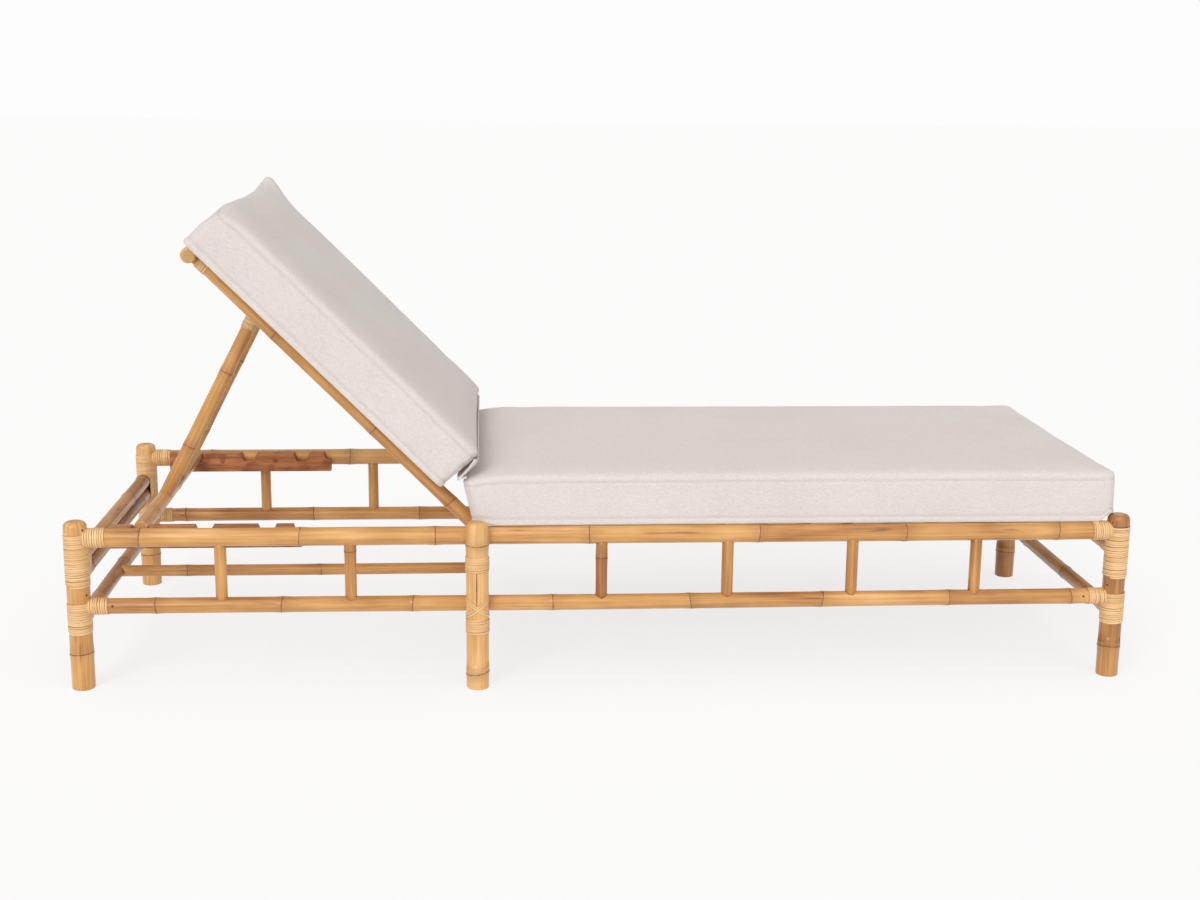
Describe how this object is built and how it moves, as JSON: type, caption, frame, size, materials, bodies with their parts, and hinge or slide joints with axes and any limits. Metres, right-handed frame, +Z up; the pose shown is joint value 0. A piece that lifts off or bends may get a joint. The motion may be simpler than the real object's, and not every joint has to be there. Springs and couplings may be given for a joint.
{
  "type": "sun lounger",
  "caption": "Low rattan sun lounger with a hinged back frame on a notched prop, cane-bound pole joints, slatted seat and two linen box cushions.",
  "frame": {"origin": "on the floor at the middle of the base", "axes": "+X along the bed to the foot end, +Y to the left hand of someone lying on it, +Z up"},
  "size_m": [2.0037, 0.7556, 0.8966],
  "materials": {
    "rattan": "satin lacquered pole rattan",
    "cane": "satin peeled cane",
    "hardwood": "oiled hardwood",
    "steel": "zinc plated",
    "cushion_fabric": "matte linen weave"
  },
  "bodies": {
    "base": {"center_stretcher": "rattan", "foot_leg_bindings_left": "cane", "foot_leg_bindings_right": "cane", "foot_leg_left": "rattan", "foot_leg_right": "rattan", "foot_lower_end_rail": "rattan", "foot_upper_end_rail": "rattan", "head_leg_bindings_left": "cane", "head_leg_bindings_right": "cane", "head_leg_left": "rattan", "head_leg_right": "rattan", "head_lower_end_rail": "rattan", "head_second_end_rail": "rattan", "head_upper_end_rail": "rattan", "hinge_nuts": "steel", "hinge_pins": "steel", "hinge_spacers": "steel", "hinge_washers": "steel", "lap_pins": "hardwood", "lower_rail_left": "rattan", "lower_rail_right": "rattan", "middle_leg_bindings_left": "cane", "middle_leg_bindings_right": "cane", "middle_leg_left": "rattan", "middle_leg_right": "rattan", "middle_lower_cross_rail": "rattan", "rack_left": "hardwood", "rack_right": "hardwood", "rack_screws": "steel", "rail_end_bindings_left": "cane", "rail_end_bindings_right": "cane", "seat_bearer": "rattan", "seat_cushion": "cushion_fabric", "seat_slats": "rattan", "spindles_left": "rattan", "spindles_right": "rattan", "top_rail_left": "rattan", "top_rail_right": "rattan"},
    "backrest": {"back_rail_right": "rattan", "back_rail_left": "rattan", "back_top_bar": "rattan", "back_slats": "rattan", "prop_pivot_rod": "hardwood", "back_rail_bindings": "cane", "back_cushion": "cushion_fabric"},
    "prop": {"prop_leg_right": "rattan", "prop_leg_left": "rattan", "prop_crossbar": "rattan", "prop_bindings": "cane"}
  },
  "joints": [
    {"name": "back_recline", "type": "hinge", "parent": "base", "child": "backrest", "pos_m": [-0.243, 0, 0.29], "axis": [0, 1, 0], "range_deg": [0, 12]},
    {"name": "prop_swing", "type": "hinge", "parent": "backrest", "child": "prop", "pos_m": [-0.65595, 0, 0.70295], "axis": [0, 1, 0], "range_deg": [-5, 0.2]}
  ],
  "couplings": [
    {"joint": "prop_swing", "follows": "back_recline", "ratio": -0.4}
  ]
}
